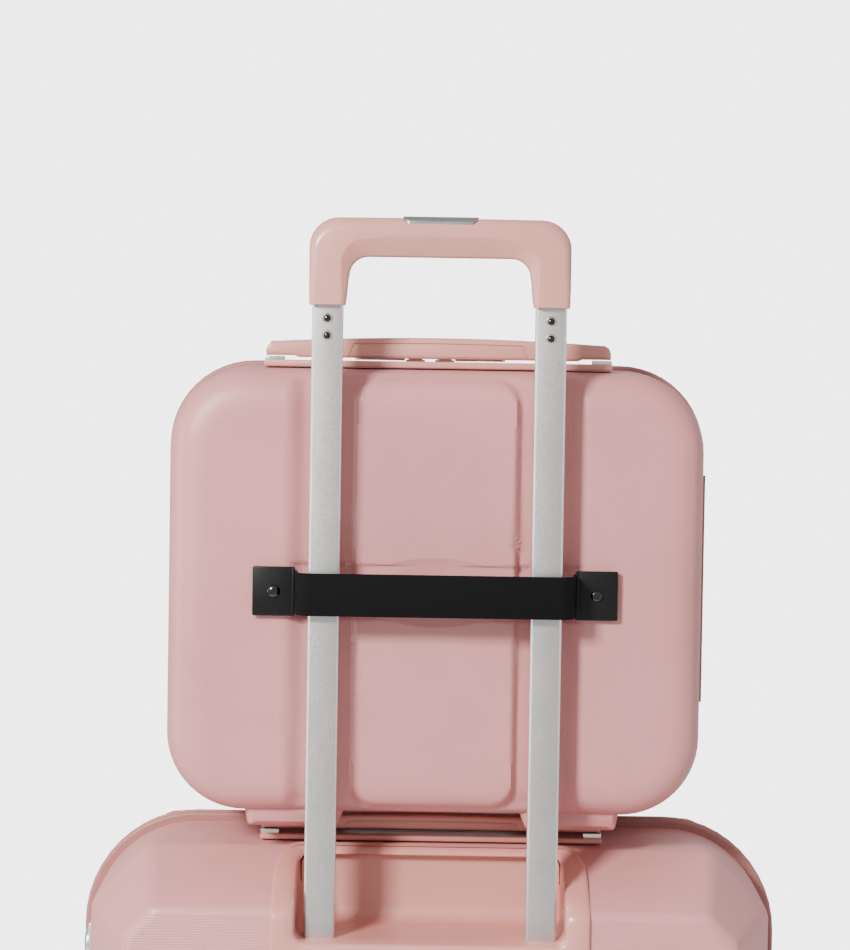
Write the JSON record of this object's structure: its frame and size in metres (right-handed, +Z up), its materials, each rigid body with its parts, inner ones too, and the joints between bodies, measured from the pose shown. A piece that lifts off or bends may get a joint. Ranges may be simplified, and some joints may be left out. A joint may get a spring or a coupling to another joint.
{
  "type": "wheeled suitcase with docked carry case",
  "caption": "Hard shell spinner suitcase with an extended trolley handle and a small hard carry case strapped in front of its tubes",
  "frame": {"origin": "on the floor, under the middle of the bounding box", "axes": "+Z up, +X towards the hinge side of the suitcase, -Y towards the trolley handle side"},
  "size_m": [0.4452, 0.262, 1.0026],
  "materials": {
    "shell_pink": "satin moulded shell with a fine grain",
    "rim_pink": "soft piping and zip tape",
    "lining": "woven lining",
    "frame_pink": "satin moulded plastic",
    "tube_metal": "anodised, satin",
    "nickel": "satin nickel",
    "black_plastic": "gloss black",
    "caster_plastic": "satin black",
    "hub_plastic": "satin grey",
    "tyre_rubber": "smooth tread",
    "strap_fabric": "woven elastic",
    "pull_metal": "champagne plating"
  },
  "bodies": {
    "rear_half": {"rear_shell": "shell_pink", "rear_rim": "rim_pink", "rear_zipper": "rim_pink", "rear_lining": "lining", "handle_housing": "frame_pink", "outer_tubes": "tube_metal", "tube_foot_bracket": "black_plastic", "handle_bases": "frame_pink", "handle_brackets": "tube_metal", "lock_body": "nickel", "hinge_band": "lining", "rear_caster_housings": "caster_plastic", "side_feet": "caster_plastic"},
    "front_half": {"front_shell": "shell_pink", "front_rim": "rim_pink", "front_zipper": "rim_pink", "front_lining": "lining", "front_caster_housings": "caster_plastic"},
    "top_handle": {"top_handle_grip": "frame_pink"},
    "side_handle": {"side_handle_grip": "frame_pink"},
    "lock_press": {"lock_button": "nickel"},
    "zip_upper": {"suitcase_slider_upper": "nickel"},
    "zip_lower": {"suitcase_slider_lower": "nickel"},
    "trolley": {"inner_tube_left": "tube_metal", "inner_tube_right": "tube_metal", "trolley_grip": "frame_pink", "grip_screws": "nickel"},
    "handle_button": {"grip_button": "nickel"},
    "release_linkage": {"release_rods": "nickel"},
    "lock_pin_pair": {"lock_pins": "nickel"},
    "carry_case": {"case_rear_shell": "shell_pink", "case_rear_rim": "rim_pink", "case_rear_lining": "lining", "case_rear_feet": "frame_pink", "case_strap": "strap_fabric", "strap_plates": "black_plastic", "strap_screws": "black_plastic", "case_handle_base": "tube_metal", "case_hinge_band": "lining"},
    "case_front": {"case_front_shell": "shell_pink", "case_front_rim": "rim_pink", "case_front_feet": "frame_pink"},
    "case_handle": {"case_handle_grip": "frame_pink"},
    "case_zip_left": {"case_slider_left": "pull_metal"},
    "case_zip_right": {"case_slider_right": "pull_metal"},
    "zip_pull_left": {"case_pull_left": "pull_metal"},
    "zip_pull_right": {"case_pull_right": "pull_metal"},
    "caster_rear_left": {"caster_fork_rear_left": "caster_plastic"},
    "wheels_rear_left": {"caster_hubs_rear_left": "hub_plastic", "caster_tyres_rear_left": "tyre_rubber"},
    "caster_rear_right": {"caster_fork_rear_right": "caster_plastic"},
    "wheels_rear_right": {"caster_hubs_rear_right": "hub_plastic", "caster_tyres_rear_right": "tyre_rubber"},
    "caster_front_left": {"caster_fork_front_left": "caster_plastic"},
    "wheels_front_left": {"caster_hubs_front_left": "hub_plastic", "caster_tyres_front_left": "tyre_rubber"},
    "caster_front_right": {"caster_fork_front_right": "caster_plastic"},
    "wheels_front_right": {"caster_hubs_front_right": "hub_plastic", "caster_tyres_front_right": "tyre_rubber"}
  },
  "joints": [
    {"name": "handle_slide", "type": "slide", "parent": "rear_half", "child": "trolley", "axis": [0, 0, 1], "range_m": [-0.362, 0]},
    {"name": "button_press", "type": "slide", "parent": "trolley", "child": "handle_button", "axis": [0, 0, 1], "range_m": [-0.003, 0], "stiffness_N_per_m": 400},
    {"name": "release_slide", "type": "slide", "parent": "trolley", "child": "release_linkage", "axis": [0, 0, 1], "range_m": [-0.003, 0]},
    {"name": "pin_retract", "type": "slide", "parent": "trolley", "child": "lock_pin_pair", "axis": [0, -1, 0], "range_m": [0, 0.0021]},
    {"name": "lid_hinge", "type": "hinge", "parent": "rear_half", "child": "front_half", "pos_m": [0.216, 0, 0.343], "axis": [0, 0, 1], "range_deg": [-170, 0]},
    {"name": "top_handle_lift", "type": "slide", "parent": "rear_half", "child": "top_handle", "axis": [0, 0, 1], "range_m": [0, 0.002], "stiffness_N_per_m": 400},
    {"name": "side_handle_lift", "type": "slide", "parent": "rear_half", "child": "side_handle", "axis": [-1, 0, 0], "range_m": [0, 0.003], "stiffness_N_per_m": 400},
    {"name": "lock_button_press", "type": "slide", "parent": "rear_half", "child": "lock_press", "axis": [1, 0, 0], "range_m": [0, 0.0012], "stiffness_N_per_m": 400},
    {"name": "zip_upper_slide", "type": "slide", "parent": "rear_half", "child": "zip_upper", "axis": [0, 0, 1], "range_m": [0, 0.014]},
    {"name": "zip_lower_slide", "type": "slide", "parent": "rear_half", "child": "zip_lower", "axis": [0, 0, 1], "range_m": [-0.36, 0]},
    {"name": "case_lift", "type": "slide", "parent": "rear_half", "child": "carry_case", "axis": [0, 0, 1], "range_m": [0, 0.26]},
    {"name": "case_lid_hinge", "type": "hinge", "parent": "carry_case", "child": "case_front", "pos_m": [0.1645, -0.022, 0.7815], "axis": [0, 0, 1], "range_deg": [-170, 0]},
    {"name": "case_handle_lift", "type": "slide", "parent": "carry_case", "child": "case_handle", "axis": [0, 0, 1], "range_m": [0, 0.003], "stiffness_N_per_m": 400},
    {"name": "case_zip_left_slide", "type": "slide", "parent": "carry_case", "child": "case_zip_left", "axis": [1, 0, 0], "range_m": [-0.06, 0]},
    {"name": "case_zip_right_slide", "type": "slide", "parent": "carry_case", "child": "case_zip_right", "axis": [1, 0, 0], "range_m": [0, 0.06]},
    {"name": "pull_left_swing", "type": "hinge", "parent": "case_zip_left", "child": "zip_pull_left", "pos_m": [-0.0212, -0.022, 0.9202], "axis": [0, 1, 0], "range_deg": [0, 90]},
    {"name": "pull_right_swing", "type": "hinge", "parent": "case_zip_right", "child": "zip_pull_right", "pos_m": [0.0112, -0.022, 0.9202], "axis": [0, 1, 0], "range_deg": [-90, 0]},
    {"name": "swivel_rear_left", "type": "hinge", "parent": "rear_half", "child": "caster_rear_left", "pos_m": [-0.1605, -0.084, 0.05], "axis": [0, 0, 1], "continuous": true},
    {"name": "spin_rear_left", "type": "hinge", "parent": "caster_rear_left", "child": "wheels_rear_left", "pos_m": [-0.1605, -0.098, 0.022], "axis": [1, 0, 0], "continuous": true},
    {"name": "swivel_rear_right", "type": "hinge", "parent": "rear_half", "child": "caster_rear_right", "pos_m": [0.1605, -0.084, 0.05], "axis": [0, 0, 1], "continuous": true},
    {"name": "spin_rear_right", "type": "hinge", "parent": "caster_rear_right", "child": "wheels_rear_right", "pos_m": [0.1605, -0.098, 0.022], "axis": [1, 0, 0], "continuous": true},
    {"name": "swivel_front_left", "type": "hinge", "parent": "front_half", "child": "caster_front_left", "pos_m": [-0.1605, 0.084, 0.05], "axis": [0, 0, 1], "continuous": true},
    {"name": "spin_front_left", "type": "hinge", "parent": "caster_front_left", "child": "wheels_front_left", "pos_m": [-0.1605, 0.07, 0.022], "axis": [1, 0, 0], "continuous": true},
    {"name": "swivel_front_right", "type": "hinge", "parent": "front_half", "child": "caster_front_right", "pos_m": [0.1605, 0.084, 0.05], "axis": [0, 0, 1], "continuous": true},
    {"name": "spin_front_right", "type": "hinge", "parent": "caster_front_right", "child": "wheels_front_right", "pos_m": [0.1605, 0.07, 0.022], "axis": [1, 0, 0], "continuous": true}
  ],
  "couplings": [
    {"joint": "release_slide", "follows": "button_press", "ratio": 1},
    {"joint": "pin_retract", "follows": "button_press", "ratio": -0.6667}
  ]
}
